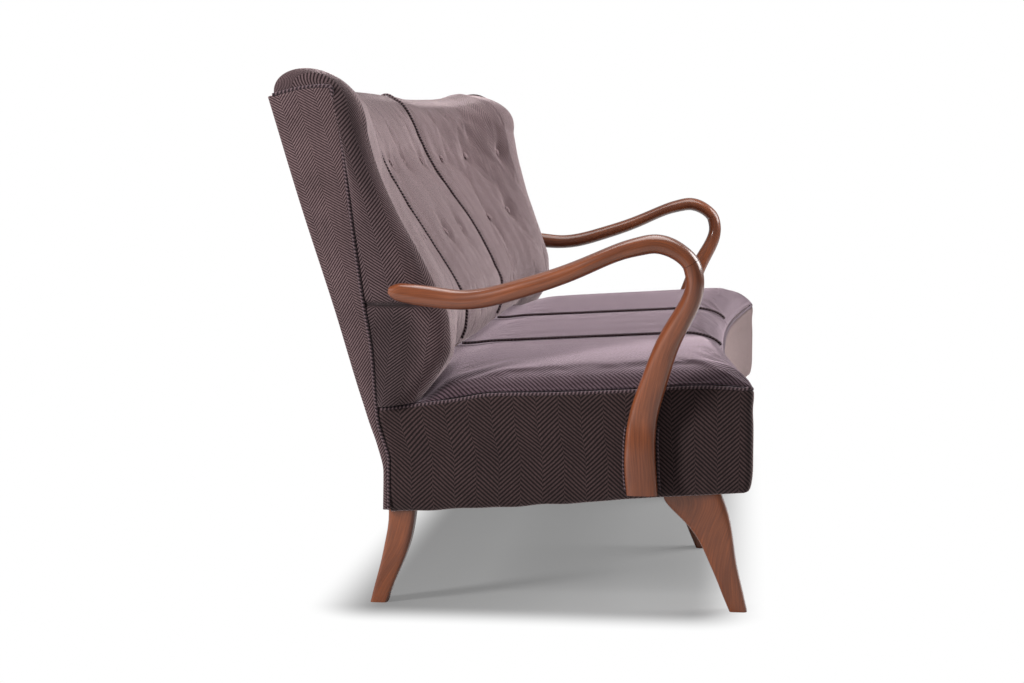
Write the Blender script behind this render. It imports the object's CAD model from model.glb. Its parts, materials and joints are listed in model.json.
"""Looks of the wingback sofa: its cloth, cords, buttons and wood, and the studio round it.

Metres, +Z up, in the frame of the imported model. Shapes are worked out with y = 0 at the front
corners of the seat and z = 0 a little above the soles, and every point is moved by origin_y
and leg_drop when its mesh is made.
"""

import json
import math

import bpy
import numpy as np
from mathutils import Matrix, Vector


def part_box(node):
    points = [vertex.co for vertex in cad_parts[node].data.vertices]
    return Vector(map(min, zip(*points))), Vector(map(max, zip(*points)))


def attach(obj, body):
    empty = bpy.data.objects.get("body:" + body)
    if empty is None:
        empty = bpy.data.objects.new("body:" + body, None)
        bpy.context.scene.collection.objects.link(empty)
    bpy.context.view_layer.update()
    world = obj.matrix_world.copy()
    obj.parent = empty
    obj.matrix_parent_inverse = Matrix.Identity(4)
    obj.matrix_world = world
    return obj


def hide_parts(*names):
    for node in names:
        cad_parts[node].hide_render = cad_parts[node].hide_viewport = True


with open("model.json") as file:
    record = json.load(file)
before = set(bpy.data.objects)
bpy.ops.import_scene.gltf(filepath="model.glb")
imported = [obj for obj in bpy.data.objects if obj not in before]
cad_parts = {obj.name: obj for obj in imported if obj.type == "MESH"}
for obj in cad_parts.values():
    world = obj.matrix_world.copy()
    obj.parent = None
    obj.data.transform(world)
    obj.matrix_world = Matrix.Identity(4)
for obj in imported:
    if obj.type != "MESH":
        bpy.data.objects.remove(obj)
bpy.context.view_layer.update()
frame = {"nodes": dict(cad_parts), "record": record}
origin_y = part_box("seat_border")[0][1]

# Sizes of the seat
half_length = 0.81
seat_depth = 0.611
channel_width = half_length * 2 / 3
seam_x = channel_width / 2
front_clearance = 0.197
rear_clearance = 0.155
border_front_height = 0.368
border_rear_height = 0.324
border_thickness = 0.014
front_hollow = 0.058
corner_radius = 0.016
seam_height = 0.404
seam_fall = 0.055
seam_front_run = 0.085
front_seam_height = 0.357
seat_crown = 0.018
edge_run = 0.060
edge_inset = 0.004
tuck_height = 0.372
tuck_side_drop = 0.037
tuck_run = 0.065

# Sizes of the back
back_height = 0.856
wing_height = 0.874
tuck_depth = 0.554
crest_reach = 0.2605
wing_tuck_depth = 0.494
wing_reach = 0.206
wing_line = 0.80
rear_edge_height = 0.832
rear_lean_run = 0.1665
rear_bow = 0.055
wing_spread = 0.075
flare_start_height = 0.33
puff_depth = 0.013
wing_stand = 0.020
near_seam_draw = 0.013
wing_roll = 0.045
wing_bulge = 0.006
wing_foot_bulge = 0.013
wing_leans = (0.014, -0.022)
wing_top_heights = (0.899, 0.884)
wing_rise_shares = (0.02, -0.12)
crest_dips = (0.007, 0.006)
seam_puff = 0.003
panel_arch = 0.0045
side_seam_run = 0.097
panel_front_height = 0.847
panel_inset = 0.0003

# Cords and buttons
edge_cord = 0.0060
seam_cord = 0.0056
panel_cord = 0.0050
gimp_cord = 0.0040
gimp_top = 0.300
button_radius = 0.0090
button_dome = 0.0050
button_stand = 0.0014
dimple_width = 0.0130
dimple_height = 0.0165
dimple_share = 0.62
crease_width = 0.0080
crease_height = 0.026
crease_share = 0.10

# Profiles as (share of the way, share of the size)
border_top_shares = [(0.0, 0.96), (0.13, 1.04), (0.32, 0.86), (0.55, 0.70), (0.70, 0.64),
                     (0.81, 0.39), (0.92, 0.18), (1.02, 0.0)]
rear_profile_shares = [(0.0, 0.0), (0.09, -0.006), (0.15, 0.05), (0.21, 0.137), (0.275, 0.22),
                       (0.47, 0.437), (0.725, 0.744), (0.955, 1.0), (1.0, 1.05)]
centre_profile_shares = [(0.0, 0.046), (0.08, 0.0), (0.17, 0.008), (0.25, 0.081), (0.35, 0.177),
                         (0.45, 0.288), (0.57, 0.457), (0.70, 0.637), (0.80, 0.741),
                         (0.90, 0.833), (0.96, 0.906), (1.0, 1.0)]
wing_profile_shares = [(0.0, 0.272), (0.08, 0.112), (0.17, 0.0), (0.25, 0.007), (0.35, 0.102),
                       (0.45, 0.228), (0.57, 0.379), (0.70, 0.490), (0.80, 0.544),
                       (0.90, 0.597), (0.96, 0.68), (1.0, 1.0)]
side_seam_shares = [(0.0, 0.05), (0.12, 0.045), (0.155, 0.10), (0.20, 0.21), (0.26, 0.262),
                    (0.38, 0.305), (0.52, 0.437), (0.69, 0.564), (0.89, 0.684), (0.95, 0.745),
                    (1.0, 0.83)]
wing_end_shares = [(0.33, 0.08), (0.49, 0.28), (0.64, 0.48), (0.78, 0.68), (0.90, 0.85),
                   (1.0, 1.0)]
wing_turn_share = 0.81
rows_up = 84
rows_over = 14
wing_lines = 36
slit_height = 0.498
slit_row = 24
slit_gap = 0.0004
slit_depth = 0.0022
thread_leans = (-8.0, 13.0)
wing_blend_power = 1.55
row_lift = 0.060
over_top_power = 2.2
upper_row = 0.703
lower_row = 0.42

# Arm centre line: y share of the reach, z share of the rise, width, outward and thickness shares
arm_shares = [
    (0.171, 0.000, 1.01, 0.17, 0.70), (0.177, 0.085, 1.03, 0.17, 0.70),
    (0.179, 0.195, 0.99, 0.17, 0.70), (0.165, 0.330, 0.92, 0.19, 0.70),
    (0.148, 0.400, 0.88, 0.28, 0.72), (0.115, 0.520, 0.81, 0.48, 0.75),
    (0.079, 0.630, 0.74, 0.66, 0.79), (0.035, 0.728, 0.67, 0.83, 0.84),
    (0.008, 0.798, 0.62, 0.94, 0.87), (0.000, 0.855, 0.58, 0.98, 0.90),
    (0.004, 0.893, 0.58, 0.99, 0.92), (0.014, 0.926, 0.57, 1.00, 0.94),
    (0.042, 0.961, 0.57, 1.00, 0.97), (0.090, 0.992, 0.60, 1.00, 1.00),
    (0.130, 1.000, 0.60, 1.00, 1.00), (0.173, 0.992, 0.59, 1.00, 1.00),
    (0.224, 0.976, 0.56, 0.99, 1.00), (0.293, 0.944, 0.54, 0.98, 0.99),
    (0.363, 0.907, 0.56, 0.95, 0.97), (0.434, 0.873, 0.58, 0.91, 0.95),
    (0.564, 0.822, 0.61, 0.83, 0.90), (0.697, 0.781, 0.63, 0.73, 0.84),
    (0.774, 0.774, 0.64, 0.67, 0.80), (0.833, 0.779, 0.67, 0.63, 0.76),
    (0.896, 0.788, 0.67, 0.61, 0.73), (0.950, 0.797, 0.62, 0.605, 0.70),
    (0.985, 0.804, 0.46, 0.60, 0.66), (1.000, 0.808, 0.26, 0.60, 0.60),
]
arm_peak_height = 0.603
arm_base_height = 0.192
arm_front = 0.097
arm_rear = 0.588
arm_out = 0.090
arm_width = 0.050
arm_thickness = 0.046
arm_joint = 11

# Legs
leg_thickness = 0.042
front_leg_width = 0.090
rear_leg_width = 0.047
front_leg_setback = 0.060
rear_leg_setback = 0.005
foot_width = 0.029
leg_drop = 0.008
front_leg_reach = 0.050
rear_leg_reach = 0.042
middle_leg_step = 0.020
leg_top_gap = 0.0057
front_leg_shares = [(1.0, 0.0, 0.0), (0.93, 0.02, 0.15), (0.86, 0.11, 0.26), (0.79, 0.24, 0.35),
                    (0.71, 0.38, 0.43), (0.55, 0.575, 0.54), (0.41, 0.69, 0.62),
                    (0.27, 0.80, 0.74), (0.13, 0.90, 0.88), (0.0, 1.0, 1.0)]
rear_leg_shares = [(1.0, 0.0, 0.0), (0.82, 0.02, 0.07), (0.62, 0.20, 0.20), (0.40, 0.45, 0.46),
                   (0.18, 0.76, 0.78), (0.0, 1.0, 1.0)]

SIDES = (("left", -1), ("right", 1))


# Numbers and curves

def clamp(value, low, high):
    return max(low, min(high, value))


def mix(first, second, share):
    return first + (second - first) * share


def smooth_step(low, high, value):
    share = clamp((value - low) / (high - low), 0.0, 1.0)
    return share * share * (3 - 2 * share)


def table_value(table, place):
    """Monotone cubic through a table of (place, value) pairs."""
    places = [row[0] for row in table]
    values = [row[1] for row in table]
    last = len(table) - 1
    slopes = [(values[i + 1] - values[i]) / (places[i + 1] - places[i]) for i in range(last)]
    tangents = [slopes[0]]
    for i in range(1, last):
        product = slopes[i - 1] * slopes[i]
        tangents.append(2 * product / (slopes[i - 1] + slopes[i]) if product > 0 else 0.0)
    tangents.append(slopes[-1])
    place = clamp(place, places[0], places[-1])
    i = max(k for k in range(last) if places[k] <= place)
    span = places[i + 1] - places[i]
    t = (place - places[i]) / span
    return ((2 * t ** 3 - 3 * t ** 2 + 1) * values[i]
            + (t ** 3 - 2 * t ** 2 + t) * span * tangents[i]
            + (3 * t ** 2 - 2 * t ** 3) * values[i + 1]
            + (t ** 3 - t ** 2) * span * tangents[i + 1])


def spaced(first, last, count):
    return [mix(first, last, i / (count - 1)) for i in range(count)]


def run_lengths(points):
    """Distance along a line of points at each of them."""
    steps = np.linalg.norm(np.diff(points, axis=0), axis=1)
    return np.concatenate([[0.0], np.cumsum(steps)])


def spline(points, places, count):
    """A natural cubic spline through points, given at `places`, read at even places."""
    points = np.asarray(points, float)
    places = np.asarray(places, float)
    n = len(points)
    h = np.diff(places)
    matrix = np.zeros((n, n))
    right = np.zeros_like(points)
    matrix[0, 0] = matrix[-1, -1] = 1.0
    for i in range(1, n - 1):
        matrix[i, i - 1], matrix[i, i], matrix[i, i + 1] = h[i - 1], 2 * (h[i - 1] + h[i]), h[i]
        right[i] = 6 * ((points[i + 1] - points[i]) / h[i]
                        - (points[i] - points[i - 1]) / h[i - 1])
    bend = np.linalg.solve(matrix, right)
    at = np.linspace(places[0], places[-1], count)
    i = np.clip(np.searchsorted(places, at, side="right") - 1, 0, n - 2)
    a = ((places[i + 1] - at) / h[i])[:, None]
    b = ((at - places[i]) / h[i])[:, None]
    span = (h[i] ** 2 / 6)[:, None]
    return a * points[i] + b * points[i + 1] + ((a ** 3 - a) * bend[i]
                                                + (b ** 3 - b) * bend[i + 1]) * span


def smooth_line(points, step):
    """The same line with points about `step` apart."""
    places = run_lengths(np.asarray(points, float))
    return spline(points, places, max(int(places[-1] / step) + 1, 4))


def even_line(points, count):
    """Points spread evenly along a polyline."""
    points = np.asarray(points, float)
    places = run_lengths(points)
    at = np.linspace(0.0, places[-1], count)
    return np.stack([np.interp(at, places, points[:, k]) for k in range(3)], axis=1)


# Surfaces of the upholstery

def front_y(x):
    return front_hollow * (1 - (min(abs(x), half_length) / half_length) ** 2.4)


def bottom_z(y):
    return mix(front_clearance, rear_clearance, y / seat_depth)


def border_top_z(y):
    share = table_value(border_top_shares, y / seat_depth)
    return mix(border_rear_height, border_front_height, share)


def side_x(z):
    rise = max(0.0, z - flare_start_height)
    return half_length + wing_spread * rise / (back_height - flare_start_height)


def rear_y(x, z):
    share = (z - rear_clearance) / (back_height - rear_clearance)
    height = max(0.0, z - tuck_height) / (back_height - tuck_height)
    bow = rear_bow * height * max(0.0, 1 - (x / half_length) ** 2)
    return seat_depth + rear_lean_run * table_value(rear_profile_shares, share) + bow


def side_seam_y(z):
    share = (z - rear_clearance) / (panel_front_height - rear_clearance)
    return seat_depth - 0.0117 + side_seam_run * table_value(side_seam_shares, share)


def tuck_z(x):
    full = wing_line - wing_roll * 0.75
    return tuck_height - tuck_side_drop * smooth_step(full - channel_width / 4, full, abs(x))


def crest_z(x):
    """Height of the crest: it dips between the seams and the wings, and rises to the wings."""
    dip = smooth_step(0.29, 0.42, abs(x)) - smooth_step(0.60, 0.76, abs(x))
    return mix(back_height, wing_height,
               smooth_step(half_length - channel_width / 4, half_length + wing_roll, abs(x))) \
        - crest_dips[x > 0] * dip


def wing_lean(sign, z):
    """The left wing stands a little back at its top and the right one a little forward."""
    start, end = ((0.58, 0.78), (0.46, 0.70))[sign > 0]
    return wing_leans[sign > 0] * smooth_step(start, end, z)


def tuck_y(x):
    return back_base(min(abs(x), wing_line - wing_roll * 0.75), 0.0)[0]


def quarter(share):
    """Height of a quarter circle at a share of its run."""
    return math.sqrt(1 - (1 - clamp(share, 0.0, 1.0)) ** 2)


def edge_top_z(x, y):
    """Top edge of the border: it sags between the front corners."""
    sag = (border_front_height - front_seam_height) * (1 - (abs(x) / half_length) ** 4)
    return border_top_z(y) - sag


def seat_top_z(x, y):
    """The seat's crowned top with its seams drawn down and its edges rolled over the cord."""
    run = max(0.0, y - front_y(x) - edge_inset)
    edge = edge_top_z(x, y)
    seam = seam_height - seam_fall * y
    valley = mix(edge, seam, quarter(run / seam_front_run))
    crown = seat_crown * (1 - 0.2 * y / seat_depth)
    ridge = mix(edge, seam + crown, quarter(run / edge_run))
    if abs(x) > half_length - channel_width / 2:
        reach = half_length / 3 - edge_inset
        share = clamp((half_length - edge_inset - abs(x)) / reach, 0.0, 1.0)
        side = border_top_z(y) + 0.001
        z = mix(min(side, ridge), ridge,
                0.52 * quarter(share / 0.15) + 0.48 * (1 - (1 - share) ** 2.2))
    else:
        across = abs(abs(x) - seam_x * 2 if abs(x) > seam_x else abs(x)) / seam_x
        z = mix(ridge, valley, across ** 1.3)
    tuck = tuck_y(x) - tuck_run * 0.15
    return mix(z, tuck_z(x) - 0.0006, smooth_step(tuck - tuck_run, tuck, y))


def row_place(x, share):
    lift = row_lift * (min(abs(x), wing_line) / wing_line) ** 1.3
    return share + lift * math.sin(math.pi * share)


def back_base(x, share):
    """The inside back as the seams and buttons hold it: (y, z) at a share of its height."""
    place = row_place(x, share)
    blend = (min(abs(x), wing_line) / wing_line) ** wing_blend_power
    centre = tuck_depth + crest_reach * table_value(centre_profile_shares, place)
    wing = wing_tuck_depth + wing_reach * table_value(wing_profile_shares, place) + wing_stand
    z = mix(tuck_z(x), crest_z(x), place)
    lean = wing_lean(x, z) * smooth_step(0.58, 0.80, abs(x))
    draw = math.exp(-((x + seam_x) / 0.13) ** 2 - ((share - 0.43) / 0.19) ** 2)
    return mix(centre, wing, blend) + lean + near_seam_draw * draw, z


def button_places():
    """(x, share of height) of every button."""
    places = []
    for share, count in ((upper_row, 3), (lower_row, 2)):
        for channel in range(3):
            left = -half_length + channel * channel_width
            for k in range(count):
                place = (k + 0.5) / count if count == 3 else (k + 1) / (count + 1)
                places.append((left + place * channel_width, share))
    return places


BUTTONS = button_places()


def wing_front_y(z, sign):
    place = clamp((z - tuck_z(wing_line)) / (wing_height - tuck_z(wing_line)), 0.0, 1.0)
    return (wing_tuck_depth + wing_reach * table_value(wing_profile_shares, place)
            + wing_lean(sign, z))


def panel_top_z(y):
    """The arched top edge of the side panel."""
    front = side_seam_y(panel_front_height)
    rear = rear_y(half_length, rear_edge_height)
    share = clamp((y - front) / (rear - front), 0.0, 1.0)
    arch = panel_arch * math.sin(math.pi * share ** 0.8)
    return mix(panel_front_height, rear_edge_height, share) + arch


def bezier(a, b, c, d, t):
    return a * (1 - t) ** 3 + b * 3 * t * (1 - t) ** 2 + c * 3 * t ** 2 * (1 - t) + d * t ** 3


seam_clear = panel_cord * 0.7


def wing_plan(part, z, sign):
    """Plan of the wing's cover at a height: a round front, then the bulging outer face."""
    seam_y = side_seam_y(min(z, panel_front_height)) - seam_clear
    front = wing_front_y(z, sign)
    outer = side_x(z) + mix(wing_foot_bulge, wing_bulge, smooth_step(0.42, 0.58, z))
    turn = 2 * math.pi * 0.20
    arc = turn * wing_roll
    face = max(seam_y - front - wing_roll, 0.0003)
    run = part * (arc + face)
    if run < arc:
        angle = run / wing_roll - turn
        return Vector((outer - wing_roll + wing_roll * math.cos(angle),
                       front + wing_roll + wing_roll * math.sin(angle), z))
    share = (run - arc) / face
    x = mix(outer, side_x(z) - 0.0009, share ** 2)
    return Vector((x, mix(front + wing_roll, seam_y, share), z))


def wing_end(part):
    """Where a line round the wing's top ends on the seam along the panel."""
    rear = rear_y(half_length, rear_edge_height)
    front = side_seam_y(panel_front_height)
    corner = Vector((side_x(rear_edge_height) - wing_roll, rear - 0.0018, rear_edge_height))
    y = mix(rear - 0.0018, front + panel_cord, table_value(wing_end_shares, part))
    z = panel_top_z(y) + seam_clear
    along = Vector((side_x(z) - 0.0009, y, z))
    return corner.lerp(along, smooth_step(0.0, 0.33, part))


# Meshes

def make_mesh(name, points, faces, uvs, material, smooth=True):
    """A piece from points in the shape frame, with UVs in metres for each face corner."""
    mesh = bpy.data.meshes.new(name)
    moved = [(p[0], p[1] + origin_y, p[2] + leg_drop) for p in points]
    mesh.from_pydata(moved, [], faces)
    if uvs is not None:
        layer_uv = mesh.uv_layers.new(name="UVMap")
        for loop in mesh.loops:
            layer_uv.data[loop.index].uv = uvs[loop.vertex_index]
    if smooth:
        mesh.shade_smooth()
    mesh.materials.append(material)
    piece = bpy.data.objects.new(name, mesh)
    bpy.context.scene.collection.objects.link(piece)
    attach(piece, "root")
    return piece


def grid_faces(rows, columns, start=0, flip=False):
    faces = []
    for r in range(rows - 1):
        for c in range(columns - 1):
            a = start + r * columns + c
            quad = (a, a + 1, a + columns + 1, a + columns)
            faces.append(tuple(reversed(quad)) if flip else quad)
    return faces


def column_runs(grid):
    return np.stack([run_lengths(grid[:, c]) for c in range(grid.shape[1])], axis=1)


def plain_uvs(grid, axis=2):
    """UVs in metres: u along the middle row, v along each column from its middle row's place."""
    middle = len(grid) // 2
    up = column_runs(grid)
    up += grid[middle, :, axis] - up[middle]
    across = np.broadcast_to(run_lengths(grid[middle]), up.shape)
    return np.stack([across, up], axis=2)


def wrapped_uvs(grid, wing_start):
    """UVs of an end cushion: the threads lean with the wing and straighten across the back."""
    turn = int(round(rows_up * wing_turn_share)) - 1
    up = column_runs(grid)
    u, v = np.zeros(up.shape), np.zeros(up.shape)
    pivot_y = grid[slit_row, -1, 1] - run_lengths(grid[slit_row, wing_start:])[-1]
    for r, row in enumerate(grid[:turn + 1]):
        z = row[-1, 2]
        lean = math.radians(thread_leans[r >= slit_row])
        flat_y = row[-1, 1] - run_lengths(row[wing_start:][::-1])[::-1] - pivot_y
        u[r, wing_start:] = (z - slit_height) * math.sin(lean) - flat_y * math.cos(lean)
        v[r, wing_start:] = slit_height + (z - slit_height) * math.cos(lean) + flat_y * math.sin(lean)
    u[turn + 1:, wing_start:] = u[turn, wing_start:]
    v[turn + 1:, wing_start:] = v[turn, wing_start:] + (up - up[turn])[turn + 1:, wing_start:]
    middle = rows_up // 2
    away = run_lengths(grid[middle, :wing_start + 1][::-1])[::-1]
    level = up[:, :wing_start + 1] + grid[middle, :wing_start + 1, 2] - up[middle, :wing_start + 1]
    follow = np.array([1 - smooth_step(0.0, seam_x, run) for run in away[:-1]])
    side_u = u[:, wing_start:wing_start + 1]
    side_v = v[:, wing_start:wing_start + 1] - level[:, -1:]
    u[:, :wing_start] = side_u[middle] + (side_u - side_u[middle]) * follow + away[:-1]
    v[:, :wing_start] = level[:, :-1] + side_v * follow + side_v[middle] * (1 - follow)
    return np.stack([u, v], axis=2)


def tube_piece(name, lines, radius, material, twist=0.0, pitch=0.008, sides=10, step=0.0016):
    """Round cords along lines; a twist above 0 makes two plies wound round each other."""
    points, faces, uvs = [], [], []
    for line in lines:
        path = smooth_line(line, step)
        length = run_lengths(path)
        tangents = np.gradient(path, axis=0)
        tangents /= np.linalg.norm(tangents, axis=1)[:, None]
        side = Vector((0, 0, 1)).cross(Vector(tangents[0]))
        if side.length < 0.1:
            side = Vector((1, 0, 0)).cross(Vector(tangents[0]))
        side.normalize()
        start = len(points)
        for k, (point, tangent) in enumerate(zip(path, tangents)):
            tangent = Vector(tangent)
            side = (side - tangent * side.dot(tangent)).normalized()
            up = tangent.cross(side)
            wind = 2 * math.pi * length[k] / pitch / 2
            for s in range(sides + 1):
                angle = 2 * math.pi * s / sides
                size = radius * (1 - twist + twist * abs(math.cos(angle - wind)))
                offset = side * math.cos(angle) + up * math.sin(angle)
                points.append(Vector(point) + offset * size)
                uvs.append((angle / (2 * math.pi), length[k]))
        rows = len(path)
        faces += grid_faces(rows, sides + 1, start)
        for first in (start, start + (rows - 1) * (sides + 1)):
            faces.append(tuple(first + s for s in range(sides)))
    return make_mesh(name, points, faces, uvs, material)


# Node helpers

class Nodes:
    """Short calls for building one material's nodes."""

    def __init__(self, name):
        self.material = bpy.data.materials.new(name)
        self.material.use_nodes = True
        self.tree = self.material.node_tree
        self.tree.nodes.clear()
        self.output = self.tree.nodes.new("ShaderNodeOutputMaterial")
        self.shader = self.tree.nodes.new("ShaderNodeBsdfPrincipled")
        self.link(self.shader.outputs[0], self.output.inputs[0])

    def link(self, source, target):
        self.tree.links.new(source, target)

    def put(self, socket, value):
        if isinstance(value, bpy.types.NodeSocket):
            self.link(value, socket)
        else:
            socket.default_value = value

    def math(self, operation, first, second=0.0, third=0.0):
        node = self.tree.nodes.new("ShaderNodeMath")
        node.operation = operation
        for socket, value in zip(node.inputs, (first, second, third)):
            self.put(socket, value)
        return node.outputs[0]

    def range(self, value, low, high, to_low=0.0, to_high=1.0, kind="SMOOTHSTEP"):
        node = self.tree.nodes.new("ShaderNodeMapRange")
        node.interpolation_type = kind
        for socket, number in zip(node.inputs, (value, low, high, to_low, to_high)):
            self.put(socket, number)
        return node.outputs[0]

    def colour(self, factor, first, second, blend="MIX"):
        node = self.tree.nodes.new("ShaderNodeMix")
        node.data_type = "RGBA"
        node.blend_type = blend
        self.put(node.inputs[0], factor)
        for socket, value in ((node.inputs[6], first), (node.inputs[7], second)):
            self.put(socket, (*value, 1.0) if isinstance(value, tuple) else value)
        return node.outputs[2]

    def noise(self, vector, scale, detail=3.0, roughness=0.55, distortion=0.0):
        node = self.tree.nodes.new("ShaderNodeTexNoise")
        self.put(node.inputs["Vector"], vector)
        for key, value in (("Scale", scale), ("Detail", detail), ("Roughness", roughness),
                           ("Distortion", distortion)):
            node.inputs[key].default_value = value
        return node.outputs["Fac"]

    def coordinates(self, kind="Object"):
        return self.tree.nodes.new("ShaderNodeTexCoord").outputs[kind]

    def uv(self):
        node = self.tree.nodes.new("ShaderNodeUVMap")
        node.uv_map = "UVMap"
        split = self.tree.nodes.new("ShaderNodeSeparateXYZ")
        self.link(node.outputs[0], split.inputs[0])
        return split.outputs[0], split.outputs[1]

    def vector(self, x, y, z=0.0):
        node = self.tree.nodes.new("ShaderNodeCombineXYZ")
        for socket, value in zip(node.inputs, (x, y, z)):
            self.put(socket, value)
        return node.outputs[0]

    def bump(self, height, distance, strength=1.0):
        node = self.tree.nodes.new("ShaderNodeBump")
        node.inputs["Distance"].default_value = distance
        node.inputs["Strength"].default_value = strength
        self.put(node.inputs["Height"], height)
        self.link(node.outputs[0], self.shader.inputs["Normal"])

    def set(self, **values):
        for key, value in values.items():
            self.put(self.shader.inputs[key.replace("_", " ")], value)


def linear(red, green, blue):
    """A colour given in screen values from 0 to 255."""
    def one(value):
        value /= 255
        return value / 12.92 if value <= 0.04045 else ((value + 0.055) / 1.055) ** 2.4
    return one(red), one(green), one(blue)


# Cloth

wool_sheen = linear(206, 190, 204)
rib_width = 0.036
line_pitch = 0.0078
line_slope = 0.92
cord_pitch = 0.0064


def herringbone_material(name, scale, lines, dark, light, tint, sheen_roughness, outside=1.0):
    """Wool twill whose lines turn back at every rib; `outside` is its shade past the wings."""
    n = Nodes(name)
    rib, pitch = rib_width * scale, line_pitch * lines
    u, v = n.uv()
    flow = n.noise(n.vector(u, v), 5.0, 1.0)
    u = n.math("MULTIPLY_ADD", n.math("SUBTRACT", flow, 0.5), 0.006, u)
    ribs = n.math("DIVIDE", u, rib)
    inside = n.math("PINGPONG", ribs, 1.0)
    turned = n.math("FLOORED_MODULO", n.math("FLOOR", ribs), 2.0)
    run = n.math("MULTIPLY_ADD", n.math("MULTIPLY", inside, rib), line_slope, v)
    run = n.math("MULTIPLY_ADD", turned, pitch * 0.4, run)
    wobble = n.noise(n.vector(u, v), 240.0, 2.0)
    run = n.math("MULTIPLY_ADD", n.math("SUBTRACT", wobble, 0.5), 0.0012, run)
    line = n.math("MULTIPLY", n.math("PINGPONG", n.math("DIVIDE", run, pitch), 0.5), 2.0)
    yarn = n.range(line, 0.36, 0.64)
    step_u = n.math("SINE", n.math("MULTIPLY", u, 2 * math.pi / 0.0026))
    step_v = n.math("SINE", n.math("MULTIPLY", v, 2 * math.pi / 0.0026))
    weave = n.math("MULTIPLY_ADD", n.math("MULTIPLY", step_u, step_v), 0.5, 0.5)
    fuzz = n.noise(n.vector(u, v), 1100.0, 3.0, 0.7)
    patch = n.noise(n.vector(u, v), 14.0, 3.0)
    shade = n.math("MULTIPLY", n.range(fuzz, 0.2, 0.8, 0.66, 1.16),
                   n.range(patch, 0.2, 0.8, 0.90, 1.10))
    shade = n.math("MULTIPLY", shade, n.math("MULTIPLY_ADD", weave, 0.22, 0.89))
    mottle = n.noise(n.vector(u, v), 330.0, 2.0, 0.6)
    shade = n.math("MULTIPLY", shade, n.range(mottle, 0.25, 0.75, 0.84, 1.16))
    slub = n.noise(n.vector(n.math("MULTIPLY", u, 420.0), n.math("MULTIPLY", v, 16.0)), 1.0, 2.0)
    shade = n.math("MULTIPLY", shade, n.range(slub, 0.25, 0.75, 0.90, 1.10))
    if outside < 1:
        place = n.tree.nodes.new("ShaderNodeAttribute")
        place.attribute_name = "outside"
        shade = n.math("MULTIPLY", shade,
                       n.math("MULTIPLY_ADD", place.outputs["Fac"], outside - 1, 1.0))
        n.set(Sheen_Weight=n.range(place.outputs["Fac"], 1.0, 1.6, 1.0, 0.55))
    else:
        n.set(Sheen_Weight=1.0)
    colour = n.colour(yarn, dark, light)
    colour = n.colour(1.0, colour, n.vector(shade, shade, shade), "MULTIPLY")
    n.set(Base_Color=colour, Roughness=0.95, Specular_IOR_Level=0.2)
    n.set(Sheen_Roughness=sheen_roughness, Sheen_Tint=(*tint, 1.0))
    height = n.math("MULTIPLY_ADD", yarn, 0.7, n.math("MULTIPLY", weave, 0.25))
    height = n.math("MULTIPLY_ADD", fuzz, 0.4, height)
    n.bump(height, 0.0006, 0.7)
    return n.material


def cord_material(name, strand):
    """The same wool cut on the bias: dark and light bands wind round the cord."""
    n = Nodes(name)
    around, along = n.uv()
    wind = n.math("ADD", n.math("DIVIDE", along, cord_pitch), around)
    band = n.math("MULTIPLY", n.math("PINGPONG", wind, 0.5), 2.0)
    fuzz = n.noise(n.coordinates(), 900.0, 3.0, 0.7)
    light = n.math("MULTIPLY", n.range(band, 0.42, 0.72), n.range(fuzz, 0.2, 0.8, 0.7, 1.0))
    colour = n.colour(light, linear(36, 25, 28), strand)
    n.set(Base_Color=colour, Roughness=0.95, Specular_IOR_Level=0.2)
    n.set(Sheen_Weight=0.7, Sheen_Roughness=0.4, Sheen_Tint=(*wool_sheen, 1.0))
    n.bump(n.math("MULTIPLY_ADD", fuzz, 0.4, band), 0.0005, 0.6)
    return n.material


# Wood

def walnut_material(name):
    """Stained wood under a satin varnish, with its grain along the piece."""
    n = Nodes(name)
    across, along = n.uv()
    grain_at = n.vector(n.math("MULTIPLY", across, 420.0), n.math("MULTIPLY", along, 14.0),
                        n.math("MULTIPLY", across, 60.0))
    grain = n.noise(grain_at, 1.0, 5.0, 0.6, 0.3)
    pores_at = n.vector(n.math("MULTIPLY", across, 1700.0), n.math("MULTIPLY", along, 70.0))
    pores = n.noise(pores_at, 1.0, 2.0, 0.5)
    cloud = n.noise(n.vector(n.math("MULTIPLY", across, 14.0), n.math("MULTIPLY", along, 6.0)),
                    1.0, 3.0)
    colour = n.colour(n.range(grain, 0.3, 0.72), linear(100, 51, 25), linear(130, 68, 34))
    colour = n.colour(n.range(cloud, 0.35, 0.72, 0.0, 0.6), colour, linear(82, 39, 22))
    colour = n.colour(n.range(pores, 0.60, 0.80, 0.0, 0.35), colour, linear(54, 26, 16))
    n.set(Base_Color=colour, Roughness=n.range(grain, 0.3, 0.7, 0.38, 0.30))
    n.set(Coat_Weight=0.9, Coat_Roughness=0.16, Specular_IOR_Level=0.2)
    n.bump(n.math("MULTIPLY_ADD", pores, -0.5, grain), 0.00018, 0.3)
    return n.material


def plain_wood_material(name):
    n = Nodes(name)
    at = n.coordinates()
    split = n.tree.nodes.new("ShaderNodeSeparateXYZ")
    n.link(at, split.inputs[0])
    stretched = n.vector(n.math("MULTIPLY", split.outputs[0], 6.0),
                         n.math("MULTIPLY", split.outputs[1], 60.0),
                         n.math("MULTIPLY", split.outputs[2], 60.0))
    grain = n.noise(stretched, 1.0, 5.0, 0.6, 0.3)
    colour = n.colour(n.range(grain, 0.3, 0.7), linear(176, 140, 98), linear(206, 172, 128))
    n.set(Base_Color=colour, Roughness=0.66)
    n.bump(grain, 0.0004, 0.4)
    return n.material


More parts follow.
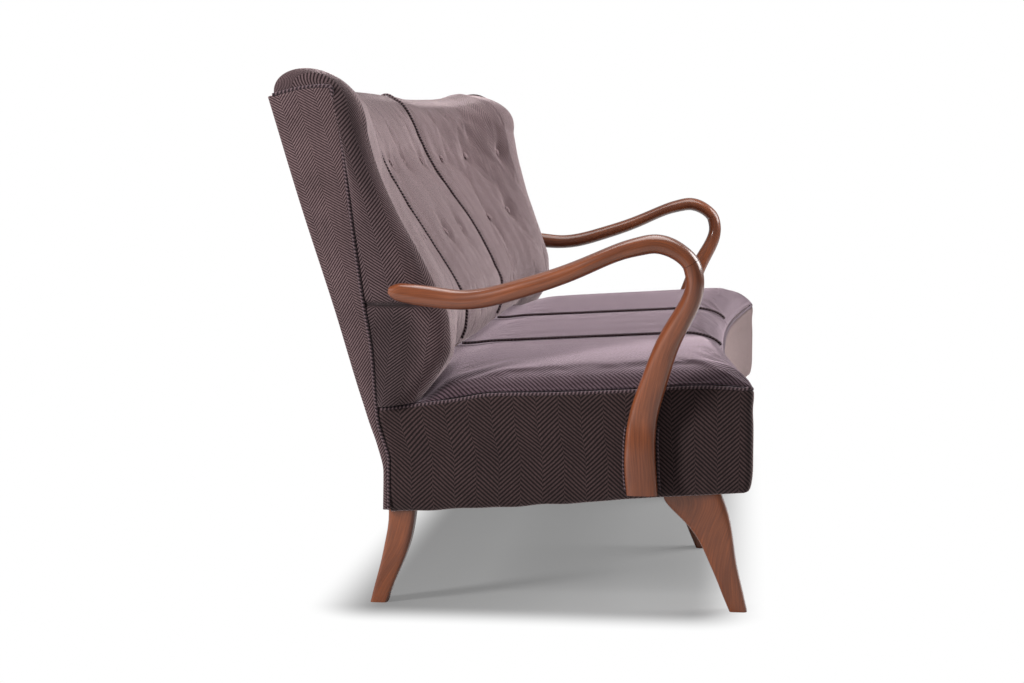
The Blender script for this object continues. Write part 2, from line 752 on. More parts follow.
def jute_material(name, colour_low, colour_high, scale=420.0):
    n = Nodes(name)
    at = n.coordinates()
    split = n.tree.nodes.new("ShaderNodeSeparateXYZ")
    n.link(at, split.inputs[0])
    first = n.math("SINE", n.math("MULTIPLY", split.outputs[0], scale * 3))
    second = n.math("SINE", n.math("MULTIPLY", n.math("ADD", split.outputs[1], split.outputs[2]),
                                   scale * 3))
    weave = n.math("MULTIPLY_ADD", n.math("MULTIPLY", first, second), 0.5, 0.5)
    fuzz = n.noise(at, scale, 3.0, 0.7)
    mixed = n.math("MULTIPLY_ADD", fuzz, 0.5, n.math("MULTIPLY", weave, 0.5))
    n.set(Base_Color=n.colour(mixed, colour_low, colour_high), Roughness=0.95)
    n.bump(mixed, 0.0005, 0.6)
    return n.material


def steel_material(name):
    n = Nodes(name)
    scratch = n.noise(n.coordinates(), 700.0, 2.0)
    n.set(Base_Color=(0.45, 0.45, 0.46, 1.0), Metallic=1.0,
          Roughness=n.range(scratch, 0.3, 0.7, 0.30, 0.45))
    n.bump(scratch, 0.0001, 0.3)
    return n.material


WOOL = herringbone_material("wool_herringbone", 1.0, 0.96, linear(24, 15, 15),
                            linear(66, 50, 50), linear(240, 212, 210), 0.32)
WOOL_PANEL = herringbone_material("wool_herringbone_panel", 0.79, 0.67, linear(50, 36, 38),
                                  linear(108, 88, 89), linear(226, 196, 198), 0.28)
WOOL_BACK = herringbone_material("wool_herringbone_back", 0.86, 0.78, linear(46, 32, 34),
                                 linear(116, 94, 96), linear(252, 228, 230), 0.33, 0.60)
WOOL_BUTTON = herringbone_material("wool_herringbone_button", 0.86, 0.78, linear(72, 54, 57),
                                   linear(146, 124, 126), linear(252, 228, 230), 0.33)
WOOL_SEAT = herringbone_material("wool_herringbone_seat", 1.0, 0.95, linear(34, 23, 27),
                                 linear(84, 66, 73), linear(236, 212, 224), 0.34)
CORD = cord_material("wool_cord", linear(104, 85, 88))
SEAM_CORD = cord_material("wool_cord_seam", linear(142, 120, 122))
WALNUT = walnut_material("walnut")


# Padded covers

cloth_steps = 20
cloth_quality = 6
cloth_mass = 0.3
cloth_stiffness = 15.0
cloth_bending = 0.5
back_swell = (0.4, 0.0025, 0.0035)
seat_swell = (0.4, 0.0045, 0.0035)


def puff_at(x, share):
    """How far the padding stands out between the seams, and how much the buttons draw it in."""
    depth = puff_depth
    if abs(x) <= seam_x:
        crown = 1 - (abs(x) / seam_x) ** 2.4
    else:
        crown = 1 - (1 - min((abs(x) - seam_x) / (channel_width / 6), 1.0)) ** 2
        depth = mix(seam_puff, wing_stand, smooth_step(0.42, 0.76, abs(x)))
    pull = 1.0
    height = crest_z(x) - tuck_z(x)
    for button_x, button_share in BUTTONS:
        off_x, off_z = x - button_x, (share - button_share) * height
        dimple = math.hypot(off_x / dimple_width, off_z / dimple_height)
        crease = math.hypot(off_x / crease_width, off_z / crease_height)
        pull *= 1 - dimple_share * math.exp(-dimple ** 2 / 2)
        pull *= 1 - crease_share * math.exp(-crease ** 2 / 2)
    level = smooth_step(-0.15, 0.15, share) * (1 - 0.7 * smooth_step(0.85, 1.0, share))
    return depth * crown * pull * level


def inside_column(x):
    """The padded surface at one x, from the tuck to the crest and over to the rear edge."""
    points = []
    for share in spaced(0.0, 1.0, rows_up):
        y, z = back_base(x, share)
        y_above, z_above = back_base(x, min(share + 0.02, 1.0))
        y_below, z_below = back_base(x, max(share - 0.02, 0.0))
        slope = Vector((y_above - y_below, z_above - z_below)).normalized()
        puff = puff_at(x, share)
        lift = slope.x * puff * smooth_step(0.0, 0.14, share)
        points.append(Vector((x, y - slope.y * puff, z + lift)))
    crest = points[-1]
    end = Vector((x, rear_y(x, rear_edge_height) - 0.0018, rear_edge_height))
    for share in spaced(0.0, 1.0, rows_over + 1)[1:]:
        flat = crest.lerp(end, share)
        flat.z = mix(crest.z, end.z, share ** over_top_power)
        points.append(flat)
    return points


def wing_column(part, sign):
    """A line up the wing's cover and over its top to the seam along the panel."""
    foot = wing_plan(part, border_rear_height + panel_cord, sign)
    low_z = border_top_z(foot.y) + 0.0012
    turn_z = mix(0.800 - wing_roll / 2, panel_front_height - wing_roll / 2, part)
    count_low = int(round(rows_up * wing_turn_share))
    heights = spaced(low_z, slit_height - slit_gap / 2, slit_row)
    heights += spaced(slit_height + slit_gap / 2, turn_z, count_low - slit_row)
    points = [wing_plan(part, z, sign) for z in heights]
    for point in points[slit_row - 1:slit_row + 1]:
        point.x -= slit_depth * smooth_step(0.35, 0.7, part)
    start, end = points[-1], wing_end(part)
    run = end.y - start.y
    crest = min(wing_top_heights[sign > 0], max(start.z, end.z) + run * 0.45)
    rise = Vector((start.x - wing_bulge, start.y + run * wing_rise_shares[sign > 0], crest))
    fall = Vector((end.x - wing_bulge, end.y + run * 0.05, crest))
    rest = rows_up + rows_over - count_low
    for row in range(1, rest + 1):
        points.append(bezier(start, rise, fall, end, row / rest))
    return points


def back_grid(side):
    """Fine grid of one back cushion, its UVs, its held points and those outside the wing."""
    inner = 0
    columns = []
    if side == "middle":
        for x in spaced(-seam_x + 0.0003, seam_x - 0.0003, 85):
            columns.append(inside_column(x))
    else:
        sign = -1 if side == "left" else 1
        for x in spaced(seam_x + 0.0003, 0.765, 78):
            columns.append([p * Vector((sign, 1, 1)) for p in inside_column(sign * x)])
        inner = len(columns)
        for part in spaced(0.0, 1.0, wing_lines):
            columns.append(wing_column(part, sign))
    grid = np.array([[tuple(p) for p in column] for column in columns]).transpose(1, 0, 2)
    uv = wrapped_uvs(grid, inner) if inner else plain_uvs(grid)
    held = held_points(grid, side, inner)
    outside = np.zeros(grid.shape[:2])
    for c, part in enumerate(spaced(0.0, 1.0, wing_lines) if inner else []):
        lower = [1.6 - 0.6 * smooth_step(0.46, 0.52, z) for z in grid[:, -1, 2]]
        outside[:, inner + c] = smooth_step(0.18, 0.6, part) * np.array(lower)
        outside[slit_row - 1:slit_row + 1, inner + c] = 2.0 * smooth_step(0.3, 0.5, part)
    if side == "right":
        outside[:, :inner] = 0.35 * np.interp(grid[:, :inner, 0], (0.45, 0.75), (0.0, 1.0))
    crest = 1.5 * np.interp(np.arange(len(grid)), (rows_up - 9, rows_up), (0.0, 1.0))
    columns_in = inner or grid.shape[1]
    outside[:, :columns_in] = np.maximum(outside[:, :columns_in], crest[:, None])
    if side == "left":
        grid = grid[:, ::-1] * np.array((-1.0, 1.0, 1.0))
        uv, held, outside = uv[:, ::-1], held[:, ::-1], outside[:, ::-1]
    return grid, uv, held, outside


def held_points(grid, side, wing_start):
    """1 at seams, edges, buttons and round the wing, 0 where the cloth can swell."""
    held = np.zeros(grid.shape[:2])
    held[0] = held[rows_up - 4:] = 1.0
    held[:, 0] = 1.0
    held[:, -1] = 1.0
    if wing_start:
        held[:, wing_start:] = 1.0
    sign = -1 if side == "left" else 1
    for x, share in BUTTONS:
        y, z = back_base(x, share)
        away = np.hypot(grid[:, :, 0] - x * sign, grid[:, :, 2] - z)
        held[away < button_radius] = 1.0
    return held


def settle(name, grid, held, pressure, growth, most):
    """Cloth simulation of a padded cover: it swells between its held points, by `most` at most."""
    rows, columns, _ = grid.shape
    mesh = bpy.data.meshes.new(name)
    mesh.from_pydata([tuple(p) for p in grid.reshape(-1, 3)], [], grid_faces(rows, columns))
    cover = bpy.data.objects.new(name, mesh)
    scene = bpy.context.scene
    scene.collection.objects.link(cover)
    group = cover.vertex_groups.new(name="held")
    group.add([int(k) for k in np.flatnonzero(held.reshape(-1))], 1.0, "REPLACE")
    cloth = cover.modifiers.new("cloth", "CLOTH")
    cloth.settings.quality = cloth_quality
    cloth.settings.mass = cloth_mass
    cloth.settings.tension_stiffness = cloth.settings.compression_stiffness = cloth_stiffness
    cloth.settings.shear_stiffness = cloth_stiffness / 3
    cloth.settings.bending_stiffness = cloth_bending
    cloth.settings.vertex_group_mass = "held"
    cloth.settings.use_pressure = True
    cloth.settings.uniform_pressure_force = pressure
    cloth.settings.shrink_min = -growth
    cloth.settings.effector_weights.gravity = 0
    for step in range(1, cloth_steps + 1):
        scene.frame_set(step)
    shaped = cover.evaluated_get(bpy.context.evaluated_depsgraph_get()).to_mesh()
    moved = np.array([tuple(v.co) for v in shaped.vertices]).reshape(grid.shape) - grid
    bpy.data.objects.remove(cover)
    scene.frame_set(1)
    far = np.linalg.norm(moved, axis=2, keepdims=True)
    return grid + moved * (np.tanh(far / most) * most / np.maximum(far, 1e-9))


def sheet_with_back(name, grid, inward, material, uv=None):
    """A closed form: the padded grid in front and the same grid set inward behind it."""
    rows, columns, _ = grid.shape
    normals = np.cross(np.gradient(grid, axis=1), np.gradient(grid, axis=0))
    normals /= np.linalg.norm(normals, axis=2)[:, :, None] + 1e-12
    behind = grid - normals * np.reshape(inward, (1, -1, 1))
    points = [tuple(p) for p in grid.reshape(-1, 3)] + [tuple(p) for p in behind.reshape(-1, 3)]
    uv = (plain_uvs(grid) if uv is None else uv).reshape(-1, 2)
    uvs = [tuple(t) for t in uv] * 2
    back = rows * columns
    faces = grid_faces(rows, columns) + grid_faces(rows, columns, back, flip=True)
    edge = [(0, c) for c in range(columns)]
    edge += [(r, columns - 1) for r in range(1, rows)]
    edge += [(rows - 1, c) for c in range(columns - 2, -1, -1)]
    edge += [(r, 0) for r in range(rows - 2, 0, -1)]
    for k, (r, c) in enumerate(edge):
        r2, c2 = edge[(k + 1) % len(edge)]
        a, b = r * columns + c, r2 * columns + c2
        faces.append((b, a, back + a, back + b))
    return make_mesh(name, points, faces, uvs, material)


def finer(piece):
    piece.modifiers.new("finer", "SUBSURF").levels = 1


def make_back_cushions():
    for side in ("left", "middle", "right"):
        grid, uv, held, outside = back_grid(side)
        outward = np.abs(grid[rows_up // 2, :, 0])
        inward = np.interp(outward, (0.74, 0.83), (0.012, 0.003))
        grid = settle("back_cover_" + side, grid, held, *back_swell)
        piece = sheet_with_back("back_cushion_" + side, grid, inward, WOOL_BACK, uv)
        shade = piece.data.attributes.new("outside", "FLOAT", "POINT")
        shade.data.foreach_set("value", np.tile(outside.reshape(-1), 2))
        finer(piece)
        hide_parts("back_pad_" + side)


# The seat's cushions

def seat_grid(side):
    if side == "middle":
        xs = spaced(-seam_x + 0.0003, seam_x - 0.0003, 73)
    else:
        reach = half_length - edge_inset
        turns = spaced(0.0, 1.0, 24)
        xs = spaced(seam_x + 0.0003, reach - 0.06, 50)
        xs += [reach - 0.06 * (1 - t) ** 1.7 for t in turns[1:]]
    rows = []
    for k in range(76):
        share = k / 75
        row = []
        for x in xs:
            start = front_y(x) + edge_inset
            end = tuck_y(x) + tuck_run * 0.08
            y = mix(start, end, share ** 1.6)
            row.append((x, y, seat_top_z(x, y)))
        rows.append(row)
    grid = np.array(rows)
    if side == "left":
        grid = grid[:, ::-1] * np.array((-1.0, 1.0, 1.0))
    return grid


def make_seat_cushions():
    for side in ("left", "middle", "right"):
        grid = seat_grid(side)
        uv = plain_uvs(grid, 1) + np.array((rib_width, 0.0))
        held = np.zeros(grid.shape[:2])
        held[:3] = held[-8:] = held[:, :2] = held[:, -2:] = 1.0
        grid = settle("seat_cover_" + side, grid, held, *seat_swell)
        piece = sheet_with_back("seat_cushion_" + side, grid, 0.010, WOOL_SEAT, uv)
        finer(piece)
        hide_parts("seat_pad_" + side)


# Border, panels and outside back

border_section_shares = [(1.0, 0.0), (0.64, 0.0), (0.15, 0.09), (0.0, 0.30), (0.0, 0.52),
                         (0.04, 0.70), (0.07, 0.86), (0.14, 1.0), (1.0, 1.0)]


def border_plan(inset):
    """Plan of the border at an inset from its face, from the left rear round to the right."""
    straight = half_length - corner_radius
    centre_y = front_y(straight) + corner_radius
    path = []
    for share in spaced(0.0, 1.0, 60)[:-1]:
        path.append(("side", -1, 1 - share))
    for turn in spaced(180, 270, 9)[:-1]:
        path.append(("corner", -1, turn))
    for x in spaced(-straight, straight, 200):
        path.append(("front", 0, x))
    for turn in spaced(270, 360, 9)[1:]:
        path.append(("corner", 1, turn))
    for share in spaced(0.0, 1.0, 60)[1:]:
        path.append(("side", 1, share))
    return path, centre_y, straight


def border_place(station, inset, z, centre_y, straight):
    kind, sign, value = station
    if kind == "side":
        rear = side_seam_y(z) - seam_clear - inset / 4
        return sign * (half_length - inset), mix(centre_y, rear, value)
    if kind == "corner":
        turn = math.radians(value)
        radius = corner_radius - inset
        return sign * straight + radius * math.cos(turn), centre_y + radius * math.sin(turn)
    return value, front_y(value) + inset


def hem_drop(y):
    """The lower edge hangs a few millimetres below the frame, in shallow waves."""
    share = clamp(y / seat_depth, 0.0, 1.0)
    wave = math.sin(y * 47.0 + 0.6) * 0.5 + math.sin(y * 83.0) * 0.35
    return 0.0036 * smooth_step(0.25, 0.60, share) * (1 + 0.5 * wave) * (1 - 0.5 * share ** 6)


hem_length = 0.0022


def border_heights(y):
    return bottom_z(y) - hem_drop(y) - hem_length, border_top_z(y) - edge_cord * 0.75


def make_border():
    path, centre_y, straight = border_plan(0.0)
    section = spline([(a, b, 0.0) for a, b in border_section_shares],
                     run_lengths(np.array([(a * 0.1, b, 0) for a, b in border_section_shares])), 40)
    rows = []
    for inset_share, share, _ in section:
        row = []
        for station in path:
            _, y_guess = border_place(station, 0.0, border_rear_height, centre_y, straight)
            low, high = border_heights(y_guess)
            z = mix(low, high, share)
            inset = clamp(inset_share, 0.0, 1.0) * border_thickness
            x, y = border_place(station, inset, z, centre_y, straight)
            sag = border_top_z(y) - edge_top_z(x, y)
            row.append((x, y, z - sag * share))
        rows.append(row)
    grid = np.array(rows)
    piece = sheet_with_back("border_cover", grid, 0.002, WOOL)
    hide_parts("seat_border")


def make_side_covers():
    lean = math.atan2(rear_lean_run, rear_edge_height - rear_clearance)
    for side, sign in SIDES:
        rows = []
        for share in spaced(0.0, 1.0, 120):
            z0 = mix(rear_clearance, panel_front_height + 0.001, share)
            z1 = mix(rear_clearance, rear_edge_height + 0.001, share)
            y0, y1 = side_seam_y(z0) - 0.0012, rear_y(half_length, z1)
            row = []
            for across in spaced(0.0, 1.0, 30):
                arch = panel_arch * math.sin(math.pi * (1 - across) ** 0.8)
                z = mix(z1, z0, across) + arch * smooth_step(0.7, 1.0, share)
                swell = 0.0015 * math.sin(math.pi * across)
                row.append((sign * (side_x(z) + swell), mix(y1, y0, across), z))
            rows.append(row)
        grid = np.array(rows)
        if sign > 0:
            grid = grid[:, ::-1]
        flat = np.stack([grid[:, :, 1] * math.cos(lean) - grid[:, :, 2] * math.sin(lean),
                         grid[:, :, 2] * math.cos(lean) + grid[:, :, 1] * math.sin(lean)], axis=2)
        piece = sheet_with_back("side_cover_" + side, grid, 0.012, WOOL_PANEL, flat)
        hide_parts("side_panel_" + side)


def make_outside_back():
    rows = []
    for z in spaced(rear_clearance, rear_edge_height - 0.008, 90):
        reach = side_x(z) - 0.0126
        rows.append([(x, rear_y(x, z), z) for x in spaced(reach, -reach, 180)])
    piece = sheet_with_back("outside_back_cover", np.array(rows), 0.004, WOOL)
    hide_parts("outside_back")


# Cords

def make_edge_cord():
    path, centre_y, straight = border_plan(0.0)
    line = []
    for station in path:
        corner = max(0.0, 1 - abs(station[2] - 270 - station[1] * 45) / 45) \
            if station[0] == "corner" else 0.0
        inset = 0.0036 - 0.002 * corner
        x, y = border_place(station, inset, border_rear_height, centre_y, straight)
        line.append((x, y, edge_top_z(x, y) - edge_cord / 2 + 0.003 * corner))
    piece = tube_piece("seat_edge_piping", [line], edge_cord / 2, CORD, 0.04)
    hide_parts("seat_edge_cord")


def make_seam_cords():
    for side, sign in SIDES:
        x = sign * seam_x
        lift = seam_cord / 2 + 0.0003
        line = []
        for share in spaced(0.0, 1.0, 40):
            y = mix(front_y(x) + edge_inset + seam_cord, tuck_y(x) - seam_cord * 2, share ** 1.4)
            line.append((x, y, seat_top_z(x, y) + lift + seam_cord / 2))
        piece = tube_piece("seat_seam_piping_" + side, [line], seam_cord / 2, CORD, 0.10)
        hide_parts("seat_seam_cord_" + side)
        line = []
        for share in spaced(0.03, 1.0, 50):
            y, z = back_base(x, share)
            above = back_base(x, min(share + 0.01, 1.0))
            below = back_base(x, share - 0.01)
            slope = Vector((above[0] - below[0], above[1] - below[1])).normalized()
            line.append((x, y - slope.y * lift, z + slope.x * lift))
        crest = Vector((x, *back_base(x, 1.0)))
        end = Vector((x, rear_y(x, rear_edge_height) - 0.0018, rear_edge_height))
        for share in (0.2, 0.4, 0.6, 0.8, 1.0):
            flat = crest.lerp(end, share)
            flat.z = mix(crest.z, end.z, share ** over_top_power)
            line.append((x, flat.y + lift / 2, flat.z + lift))
        piece = tube_piece("back_seam_piping_" + side, [line], seam_cord / 2, SEAM_CORD,
                           0.10)
        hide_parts("back_seam_cord_" + side)


def make_panel_cords():
    clear = panel_cord / 2
    rear = rear_y(half_length, rear_edge_height) - panel_cord * 1.5
    front = side_seam_y(panel_front_height)
    plan = [(y, panel_top_z(y) + clear) for y in spaced(rear, front + clear, 6)]
    plan.append((front - clear * 0.8, panel_front_height + clear * 0.8))
    for z in spaced(panel_front_height - 0.01, rear_clearance, 40):
        plan.append((side_seam_y(z) - clear, z))
    for side, sign in SIDES:
        line = [(sign * (side_x(z) + 0.0006), y, z) for y, z in plan]
        piece = tube_piece("side_panel_piping_" + side, [line], panel_cord / 2, CORD, 0.10)
        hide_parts("side_panel_cord_" + side)


def make_gimps():
    table_y = [(row[1], row[0]) for row in arm_shares[:6]]
    table_w = [(row[1], row[2]) for row in arm_shares[:6]]
    for side, sign in SIDES:
        for edge, turn in (("front", -1), ("rear", 1)):
            line = []
            for z in spaced(arm_base_height + gimp_cord, gimp_top, 16):
                share = (z - arm_base_height) / (arm_peak_height - arm_base_height)
                y = arm_front + (arm_rear - arm_front) * table_value(table_y, share)
                half = arm_width * table_value(table_w, share) / 2
                y += turn * (half + gimp_cord / 2 + 0.0006)
                line.append((sign * (half_length + gimp_cord / 2 + 0.0003), y, z))
            piece = tube_piece("post_braid_%s_%s" % (edge, side), [line], gimp_cord / 2, CORD,
                               0.25, 0.006)
            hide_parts("post_gimp_%s_%s" % (edge, side))


# Buttons

def make_buttons():
    for row, share in (("upper", upper_row), ("lower", lower_row)):
        points, faces, uvs = [], [], []
        for x, row_share in BUTTONS:
            if row_share != share:
                continue
            y, z = back_base(x, share)
            above = back_base(x, share + 0.02)
            below = back_base(x, share - 0.02)
            slope = Vector((above[0] - below[0], above[1] - below[1])).normalized()
            step = 0.0225
            across = back_base(x + step, share)[0] - back_base(x - step, share)[0]
            tilt = across / (2 * step)
            normal = Vector((tilt, -slope.y, slope.x)).normalized()
            side = normal.cross(Vector((0, 0, 1))).normalized()
            rise = side.cross(normal).normalized()
            centre = Vector((x, y, z)) + normal * (puff_at(x, share) + button_stand)
            sides, rings = 24, 8
            start = len(points)
            for r in range(rings + 1):
                angle = math.pi * 0.62 * r / rings
                size = button_radius * math.sin(angle)
                height = button_dome * math.cos(angle)
                for s in range(sides):
                    turn = 2 * math.pi * s / sides
                    offset = side * math.cos(turn) + rise * math.sin(turn)
                    points.append(centre + offset * size + normal * height)
                    uvs.append((size * math.cos(turn) + x, size * math.sin(turn) + z))
            for r in range(rings):
                for s in range(sides):
                    a = start + r * sides + s
                    b = start + r * sides + (s + 1) % sides
                    faces.append((a, b, b + sides, a + sides))
        piece = make_mesh("buttons_" + row, points, faces, uvs, WOOL_BUTTON)
        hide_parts("button_row_" + row)


# Arms

def loft_piece(name, rings, material, node):
    """A closed form through rings, with u round it and v along it in metres."""
    sides = len(rings[0])
    points, uvs = [], []
    along = run_lengths(np.array([np.mean(np.array(ring), axis=0) for ring in rings]))
    for ring, v in zip(rings, along):
        around = run_lengths(np.array(ring + [ring[0]]))
        for k in range(sides + 1):
            points.append(ring[k % sides])
            uvs.append((around[k], v))
    faces = grid_faces(len(rings), sides + 1)
    faces.append(tuple(range(sides)))
    last = (len(rings) - 1) * (sides + 1)
    faces.append(tuple(last + k for k in reversed(range(sides))))
    piece = make_mesh(name, points, faces, uvs, material)
    weld = piece.modifiers.new("weld", "WELD")
    weld.merge_threshold = 0.00002
    piece.data.set_sharp_from_angle(angle=math.radians(50))
    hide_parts(node)
    return piece


def arm_rings():
    """Fine sections of the right arm and the ring number of its joint."""
    rows = []
    for y_share, z_share, width_share, out_share, thick_share in arm_shares:
        thickness = arm_thickness * thick_share
        x = half_length + max(arm_out * out_share, thickness / 2) + 0.0003
        rows.append((x, arm_front + (arm_rear - arm_front) * y_share,
                     arm_base_height + (arm_peak_height - arm_base_height) * z_share,
                     arm_width * width_share, thickness))
    rows = np.array(rows)
    places = run_lengths(rows[:, :3])
    fine = spline(rows, places, 260)
    at = np.linspace(places[0], places[-1], 260)
    joint = int(np.argmin(abs(at - places[arm_joint])))
    tangents = np.gradient(fine[:, :3], axis=0)
    rings = []
    for k, row in enumerate(fine):
        tangent = Vector(tangents[k]).normalized()
        if at[k] < places[2]:
            tangent = tangent.lerp(Vector((0, 0, 1)), 1 - at[k] / places[2]).normalized()
        across = tangent.cross(Vector((1, 0, 0))).normalized()
        outward = across.cross(tangent).normalized()
        power = mix(0.50, 0.86, smooth_step(places[2], places[6], at[k]))
        ring = []
        for s in range(32):
            angle = 2 * math.pi * (s + 0.5) / 32
            c, d = math.cos(angle), math.sin(angle)
            u = math.copysign(abs(c) ** power, c)
            w = math.copysign(abs(d) ** power, d)
            ring.append(Vector(row[:3]) + across * (u * row[3] / 2) + outward * (w * row[4] / 2))
        rings.append((ring, tangent))
    return rings, joint


def make_arms():
    rings, joint = arm_rings()
    for side, sign in SIDES:
        mirror = Vector((sign, 1, 1))
        order = 1 if sign > 0 else -1
        gap = rings[joint][1] * 0.0003
        post = [[p * mirror for p in ring][::order] for ring, _ in rings[:joint]]
        post.append([(p - gap) * mirror for p in rings[joint][0]][::order])
        rail = [[(p + gap) * mirror for p in rings[joint][0]][::order]]
        rail += [[p * mirror for p in ring][::order] for ring, _ in rings[joint + 1:]]
        loft_piece("arm_post_wood_" + side, [[tuple(p) for p in r] for r in post], WALNUT,
                   "arm_post_" + side)
        loft_piece("arm_rail_wood_" + side, [[tuple(p) for p in r] for r in rail], WALNUT,
                   "arm_rail_" + side)


# Legs

def leg_rings(sign, shares, x, top_front, top_rear, foot_front, foot_rear):
    rows = np.array(list(reversed(shares)))
    fine = spline(rows, rows[:, 0], 60)
    rings = []
    for height_share, rear_share, front_share in fine:
        front = mix(top_front, foot_front, front_share)
        rear = mix(top_rear, foot_rear, rear_share)
        z_front = mix(-leg_drop, bottom_z(top_front) + leg_top_gap, height_share)
        z_rear = mix(-leg_drop, bottom_z(top_rear) + leg_top_gap, height_share)
        depth, wide = (rear - front) / 2, leg_thickness / 2 * mix(0.72, 1.0, height_share)
        outer = leg_thickness / 2 - wide
        ring = []
        for k in range(36):
            angle = 2 * math.pi * (k + 0.5) / 36
            c, s = math.cos(angle), math.sin(angle)
            u = math.copysign(abs(c) ** 0.36, c)
            v = math.copysign(abs(s) ** 0.36, s)
            y = (front + rear) / 2 + u * depth
            z = mix(z_front, z_rear, (y - front) / (rear - front))
            ring.append((sign * (x - outer * 0.5 + v * wide), y, z))
        rings.append(ring if sign > 0 else ring[::-1])
    return rings


def make_legs():
    corner_x = half_length - border_thickness - 0.0003 - leg_thickness / 2 - 0.0003
    middle = front_leg_setback + front_y(seam_x) - front_y(corner_x) + middle_leg_step
    rear_front = seat_depth - rear_leg_setback - rear_leg_width
    rear_shift = rear_leg_reach + rear_leg_width / 2 - foot_width / 2
    for side, sign in SIDES:
        for stem, x, top, width, reach, shares in (
                ("front", corner_x, front_leg_setback, front_leg_width, -front_leg_reach,
                 front_leg_shares),
                ("middle", seam_x, middle, front_leg_width, -front_leg_reach, front_leg_shares),
                ("rear", corner_x, rear_front, rear_leg_width, rear_shift, rear_leg_shares)):
            rings = leg_rings(sign, shares, x, top, top + width, top + reach,
                              top + reach + foot_width)
            loft_piece("leg_wood_%s_%s" % (stem, side), rings, WALNUT,
                       "leg_%s_%s" % (stem, side))


# CAD pieces that keep their shape

def finish_frame():
    beech = plain_wood_material("beech")
    jute = jute_material("jute", linear(120, 96, 60), linear(182, 150, 104))
    cotton = jute_material("dust_cotton", linear(20, 19, 20), linear(44, 42, 43), 900.0)
    steel = steel_material("steel")
    finishes = {"beech": beech, "jute": jute, "dust_cloth": cotton, "steel": steel,
                "walnut": WALNUT, "herringbone": WOOL, "cord": CORD}
    slots = {entry["node"]: entry["material_slot"] for entry in frame["record"]["subparts"]}
    for name, piece in frame["nodes"].items():
        for place in piece.material_slots:
            place.material = finishes[slots[name]]


# Studio

camera_distance = 3.206
camera_height = 0.774
camera_turn = 6.78
camera_pitch = 5.95
camera_lens = 70.0


def make_camera():
    data = bpy.data.cameras.new("camera")
    data.lens = camera_lens
    data.sensor_width = 36.0
    data.clip_end = 100.0
    camera = bpy.data.objects.new("camera", data)
    camera.location = (-half_length - camera_distance, 0.0145 + origin_y, camera_height + leg_drop)
    turn, pitch = math.radians(camera_turn), math.radians(camera_pitch)
    look = Vector((math.cos(pitch) * math.cos(turn), math.cos(pitch) * math.sin(turn),
                   -math.sin(pitch)))
    camera.rotation_euler = look.to_track_quat("-Z", "Y").to_euler()
    bpy.context.scene.collection.objects.link(camera)
    bpy.context.scene.camera = camera


def make_light(name, place, target, width, height, power):
    data = bpy.data.lights.new(name, "AREA")
    data.shape = "RECTANGLE"
    data.size = width
    data.size_y = height
    data.energy = power
    light = bpy.data.objects.new(name, data)
    light.location = place
    light.rotation_euler = (Vector(target) - Vector(place)).to_track_quat("-Z", "Y").to_euler()
    bpy.context.scene.collection.objects.link(light)


def seen_directly(tree, kinds=("Is Camera Ray", "Is Transmission Ray")):
    """1 for rays from the camera or through glass, 0 for light spreading in the room."""
    path = tree.nodes.new("ShaderNodeLightPath")
    total = None
    for kind in kinds:
        if total is None:
            total = path.outputs[kind]
            continue
        either = tree.nodes.new("ShaderNodeMath")
        either.operation = "MAXIMUM"
        tree.links.new(total, either.inputs[0])
        tree.links.new(path.outputs[kind], either.inputs[1])
        total = either.outputs[0]
    return total


def white_where(tree, share, lit, socket):
    """Plain white at strength 1 for the given share, the lit shader for the rest."""
    white = tree.nodes.new("ShaderNodeBackground" if tree.nodes.get("World Output")
                           else "ShaderNodeEmission")
    white.inputs[0].default_value = (1.0, 1.0, 1.0, 1.0)
    blend = tree.nodes.new("ShaderNodeMixShader")
    tree.links.new(share, blend.inputs[0])
    tree.links.new(lit, blend.inputs[1])
    tree.links.new(white.outputs[0], blend.inputs[2])
    tree.links.new(blend.outputs[0], socket)


def make_world():
    world = bpy.data.worlds.new("studio")
    world.use_nodes = True
    tree = world.node_tree
    ambient = tree.nodes["Background"]
    ambient.inputs[0].default_value = (0.96, 0.97, 1.0, 1.0)
    ambient.inputs[1].default_value = world_light
    white_where(tree, seen_directly(tree), ambient.outputs[0],
                tree.nodes["World Output"].inputs[0])
    bpy.context.scene.world = world


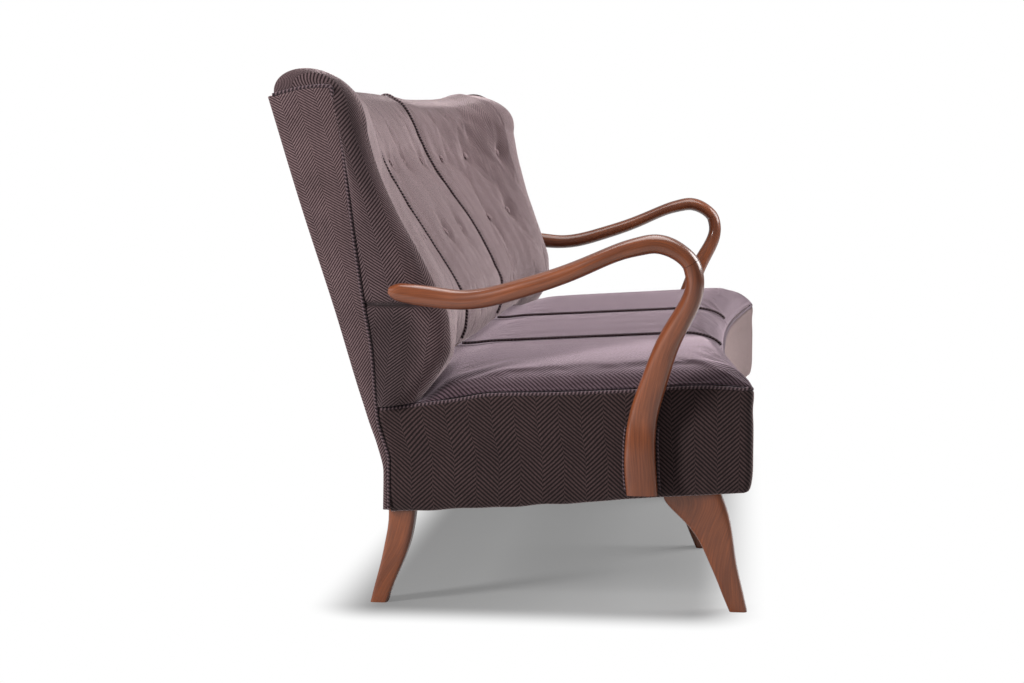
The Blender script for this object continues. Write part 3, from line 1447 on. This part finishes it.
def make_floor():
    """A pale floor that keeps the shadow under the sofa and turns plain white away from it."""
    reach = 30.0
    floor_mesh = bpy.data.meshes.new("floor")
    floor_mesh.from_pydata([(-reach, -reach, 0), (reach, -reach, 0), (reach, reach, 0),
                            (-reach, reach, 0)], [], [(0, 1, 2, 3)])
    material = bpy.data.materials.new("studio_floor")
    material.use_nodes = True
    tree = material.node_tree
    shader = tree.nodes["Principled BSDF"]
    shader.inputs["Roughness"].default_value = 0.9
    shader.inputs["Specular IOR Level"].default_value = 0.1
    seen = seen_directly(tree)

    def math_node(operation, first, second, third=0.0):
        node = tree.nodes.new("ShaderNodeMath")
        node.operation = operation
        for socket, value in zip(node.inputs, (first, second, third)):
            if isinstance(value, float):
                socket.default_value = value
            else:
                tree.links.new(value, socket)
        return node.outputs[0]

    place = tree.nodes.new("ShaderNodeTexCoord")
    split = tree.nodes.new("ShaderNodeSeparateXYZ")
    tree.links.new(place.outputs["Object"], split.inputs[0])
    shade = tree.nodes.new("ShaderNodeMapRange")
    tree.links.new(split.outputs[1], shade.inputs["Value"])
    for socket, value in zip(("From Min", "From Max", "To Min", "To Max"),
                             (-0.1, 0.2, floor_tone, floor_rear_tone)):
        shade.inputs[socket].default_value = value
    tone = math_node("MULTIPLY_ADD", seen, math_node("SUBTRACT", shade.outputs[0], floor_bounce),
                     floor_bounce)
    shader.inputs["Emission Color"].default_value = (1.0, 1.0, 1.0, 1.0)
    tree.links.new(math_node("MULTIPLY", seen, floor_glow), shader.inputs["Emission Strength"])
    grey = tree.nodes.new("ShaderNodeCombineXYZ")
    for socket in grey.inputs:
        tree.links.new(tone, socket)
    tree.links.new(grey.outputs[0], shader.inputs["Base Color"])
    squares = []
    for socket, start, end in ((split.outputs[0], shadow_start_x, shadow_end_x),
                               (split.outputs[1], shadow_start_y, shadow_end_y)):
        off = math_node("ABSOLUTE", math_node("SUBTRACT", socket, (start + end) / 2), 0.0)
        off = math_node("MAXIMUM", math_node("SUBTRACT", off, (end - start) / 2), 0.0)
        squares.append(math_node("MULTIPLY", off, off))
    far = math_node("SQRT", math_node("ADD", *squares), 0.0)
    away = tree.nodes.new("ShaderNodeMapRange")
    away.interpolation_type = "SMOOTHSTEP"
    tree.links.new(far, away.inputs[0])
    away.inputs[2].default_value = shadow_fade
    white_where(tree, math_node("MULTIPLY", seen, away.outputs[0]), shader.outputs[0],
                tree.nodes["Material Output"].inputs[0])
    floor_mesh.materials.append(material)
    floor = bpy.data.objects.new("floor", floor_mesh)
    bpy.context.scene.collection.objects.link(floor)


world_light = 0.34
floor_tone = 0.207
floor_rear_tone = 0.100
floor_glow = 0.20
floor_bounce = 0.5
shadow_start_x = -0.80
shadow_end_x = 0.80
shadow_start_y = -0.31
shadow_end_y = 0.20
shadow_fade = 0.13


def make_studio():
    make_world()
    make_light("front_box", (1.1, -3.0, 2.0), (0, 0, 0.5), 2.6, 2.0, 120)
    make_light("top_box", (0.2, -0.2, 3.2), (0, 0, 0.3), 2.6, 2.6, 76)
    make_light("rear_side_box", (-2.5, 2.2, 1.5), (-0.8, 0.0, 0.45), 0.5, 1.6, 120)
    make_floor()


make_back_cushions()
make_seat_cushions()
make_border()
make_side_covers()
make_outside_back()
make_edge_cord()
make_seam_cords()
make_panel_cords()
make_gimps()
make_buttons()
make_arms()
make_legs()
finish_frame()
make_studio()
make_camera()
bpy.context.scene.view_settings.view_transform = "Standard"
